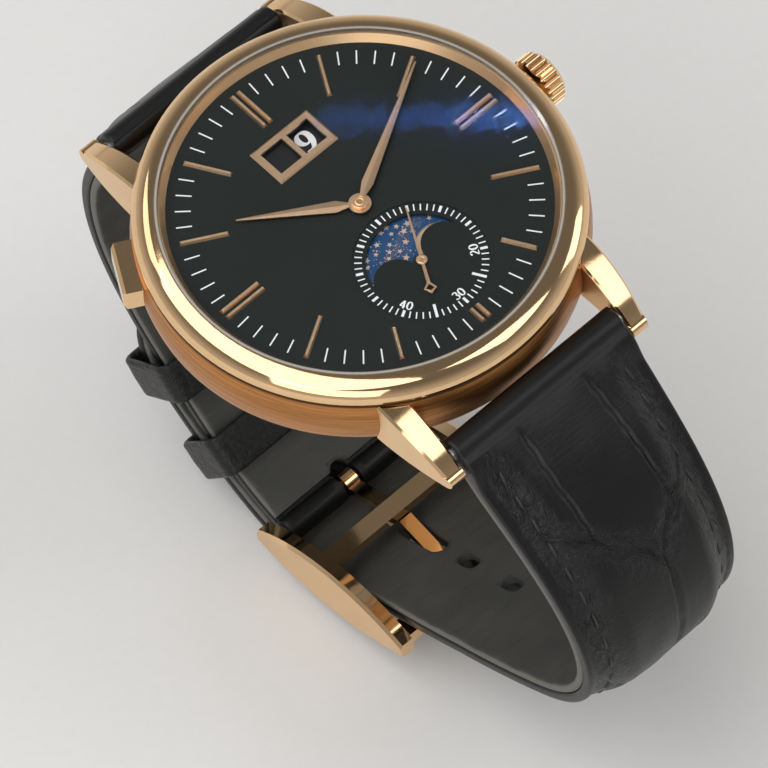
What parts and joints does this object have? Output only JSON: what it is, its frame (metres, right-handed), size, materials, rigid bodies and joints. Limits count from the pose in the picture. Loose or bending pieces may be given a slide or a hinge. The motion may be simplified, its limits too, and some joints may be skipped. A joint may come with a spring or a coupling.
{
  "type": "wristwatch",
  "caption": "Round rose-gold dress watch with a moon phase, a big date and small seconds, on a padded black leather strap closed by a pin buckle.",
  "frame": {"origin": "centre of the case back's flat outer face", "axes": "+Z out through the dial and crystal, +Y towards twelve o'clock, +X towards three o'clock and the crown; the closed strap hangs below the case, towards -Z"},
  "size_m": [0.0428, 0.0694, 0.0576],
  "materials": {
    "polished_gold": "mirror polished rose gold",
    "brushed_gold": "fine brushed rose gold",
    "sapphire": "clear, anti-reflection coated",
    "dial_black": "satin black with printed white tracks",
    "dial_gold": "faceted and polished rose gold",
    "moon_blue": "deep blue with gold stars and moons",
    "date_black": "satin black with white numerals",
    "plate_nickel": "striped and grained nickel plate",
    "wheel_brass": "circular grained gilt brass",
    "steel": "fine brushed steel",
    "ruby": "polished ruby",
    "gasket": "matte black",
    "leather": "black scaled leather, satin",
    "lining": "dark grey smooth leather, creased"
  },
  "bodies": {
    "case": {"bezel": "polished_gold", "case_middle": "brushed_gold", "lugs": "polished_gold", "case_back_ring": "polished_gold", "case_back_seal": "gasket", "back_glass": "sapphire", "back_glass_seal": "gasket", "case_screws": "steel", "crystal": "sapphire", "crystal_seal": "gasket", "dial_flange": "polished_gold", "lug_spring_bars": "steel", "crown_tube": "steel", "pusher_bush": "steel", "pusher_spring": "steel", "movement_ring": "wheel_brass", "dial": "dial_black", "hour_markers": "dial_gold", "date_frame": "dial_gold", "mainplate": "plate_nickel", "train_bridge": "plate_nickel", "bridge_screws": "steel", "jewels": "ruby", "balance_cock": "plate_nickel", "hairspring": "steel", "fork_bridge": "plate_nickel", "rotor_bearing": "steel", "short_strap": "leather", "short_strap_lining": "lining", "long_strap": "leather", "long_strap_lining": "lining", "fixed_keeper": "leather", "buckle_frame": "polished_gold", "buckle_spring_bar": "steel"},
    "seconds": {"fourth_wheel": "wheel_brass", "seconds_hand": "dial_gold"},
    "third": {"third_wheel": "wheel_brass"},
    "minutes": {"centre_wheel": "wheel_brass", "cannon_pinion": "steel", "minute_hand": "dial_gold"},
    "motion_work": {"minute_wheel": "wheel_brass"},
    "hours": {"hour_wheel": "wheel_brass", "hour_hand": "dial_gold"},
    "escape": {"escape_wheel": "steel"},
    "fork": {"pallet_fork": "steel"},
    "balance": {"balance_wheel": "wheel_brass"},
    "mainspring_barrel": {"barrel": "wheel_brass"},
    "ratchet": {"ratchet_wheel": "steel"},
    "crown_transfer": {"crown_wheel": "steel"},
    "winding": {"winding_pinion": "steel"},
    "crown_knob": {"crown": "polished_gold", "crown_stem": "steel"},
    "rotor_weight": {"rotor": "wheel_brass"},
    "moon": {"moon_disc": "moon_blue"},
    "date_units": {"date_units_disc": "date_black"},
    "date_tens": {"date_tens_disc": "date_black"},
    "pusher": {"date_pusher": "polished_gold"},
    "sliding_keeper": {"free_keeper": "leather"},
    "tang": {"buckle_tang": "polished_gold"}
  },
  "joints": [
    {"name": "seconds_turn", "type": "hinge", "parent": "case", "child": "seconds", "pos_m": [0, -0.00786, 0], "axis": [0, 0, -1], "continuous": true},
    {"name": "third_turn", "type": "hinge", "parent": "case", "child": "third", "pos_m": [-0.00296, -0.00452, 0], "axis": [0, 0, -1], "continuous": true},
    {"name": "minutes_turn", "type": "hinge", "parent": "case", "child": "minutes", "pos_m": [0, 0, 0], "axis": [0, 0, -1], "continuous": true},
    {"name": "motion_work_turn", "type": "hinge", "parent": "case", "child": "motion_work", "pos_m": [-0.00275, -0.00193, 0], "axis": [0, 0, -1], "continuous": true},
    {"name": "hours_turn", "type": "hinge", "parent": "case", "child": "hours", "pos_m": [0, 0, 0], "axis": [0, 0, -1], "continuous": true},
    {"name": "escape_turn", "type": "hinge", "parent": "case", "child": "escape", "pos_m": [0.00305, -0.00962, 0], "axis": [0, 0, -1], "continuous": true},
    {"name": "barrel_turn", "type": "hinge", "parent": "case", "child": "mainspring_barrel", "pos_m": [0.00551, 0.0032, 0], "axis": [0, 0, -1], "continuous": true},
    {"name": "balance_swing", "type": "hinge", "parent": "case", "child": "balance", "pos_m": [0.00803, -0.0073, 0], "axis": [0, 0, 1], "range_deg": [-270, 270], "stiffness_Nm_per_rad": 0.000001},
    {"name": "fork_rock", "type": "hinge", "parent": "case", "child": "fork", "pos_m": [0.00513, -0.00865, 0], "axis": [0, 0, 1], "range_deg": [-5, 5]},
    {"name": "crown_turn", "type": "hinge", "parent": "case", "child": "winding", "pos_m": [0, 0, 0.0048], "axis": [1, 0, 0], "continuous": true},
    {"name": "crown_pull", "type": "slide", "parent": "winding", "child": "crown_knob", "axis": [1, 0, 0], "range_m": [0, 0.0012]},
    {"name": "crown_wheel_turn", "type": "hinge", "parent": "case", "child": "crown_transfer", "pos_m": [0.00998, 0, 0], "axis": [0, 0, 1], "continuous": true},
    {"name": "ratchet_turn", "type": "hinge", "parent": "case", "child": "ratchet", "pos_m": [0.00551, 0.0032, 0], "axis": [0, 0, 1], "continuous": true},
    {"name": "rotor_turn", "type": "hinge", "parent": "case", "child": "rotor_weight", "pos_m": [0, 0, 0], "axis": [0, 0, 1], "continuous": true},
    {"name": "moon_turn", "type": "hinge", "parent": "case", "child": "moon", "pos_m": [0, -0.00786, 0], "axis": [0, 0, -1], "continuous": true},
    {"name": "date_units_turn", "type": "hinge", "parent": "case", "child": "date_units", "pos_m": [0.0064, 0.00843, 0], "axis": [0, 0, -1], "continuous": true},
    {"name": "date_tens_turn", "type": "hinge", "parent": "case", "child": "date_tens", "pos_m": [-0.0051, 0.00843, 0], "axis": [0, 0, -1], "continuous": true},
    {"name": "pusher_press", "type": "slide", "parent": "case", "child": "pusher", "axis": [0.866, -0.5, 0], "range_m": [0, 0.0006], "stiffness_N_per_m": 800, "springref_m": -0.0008},
    {"name": "keeper_slide", "type": "slide", "parent": "case", "child": "sliding_keeper", "axis": [0, -0.6489, -0.7609], "range_m": [-0.0015, 0.0015]},
    {"name": "tang_lift", "type": "hinge", "parent": "case", "child": "tang", "pos_m": [0, 0.004, -0.0442], "axis": [1, 0, 0], "range_deg": [0, 4]}
  ],
  "couplings": [
    {"joint": "third_turn", "follows": "seconds_turn", "ratio": -0.13333},
    {"joint": "minutes_turn", "follows": "seconds_turn", "ratio": 0.016667},
    {"joint": "motion_work_turn", "follows": "seconds_turn", "ratio": -0.0055556},
    {"joint": "hours_turn", "follows": "seconds_turn", "ratio": 0.0013889},
    {"joint": "escape_turn", "follows": "seconds_turn", "ratio": -10},
    {"joint": "barrel_turn", "follows": "seconds_turn", "ratio": -0.0027778},
    {"joint": "crown_wheel_turn", "follows": "crown_turn", "ratio": 0.5},
    {"joint": "ratchet_turn", "follows": "crown_turn", "ratio": -0.38889}
  ]
}
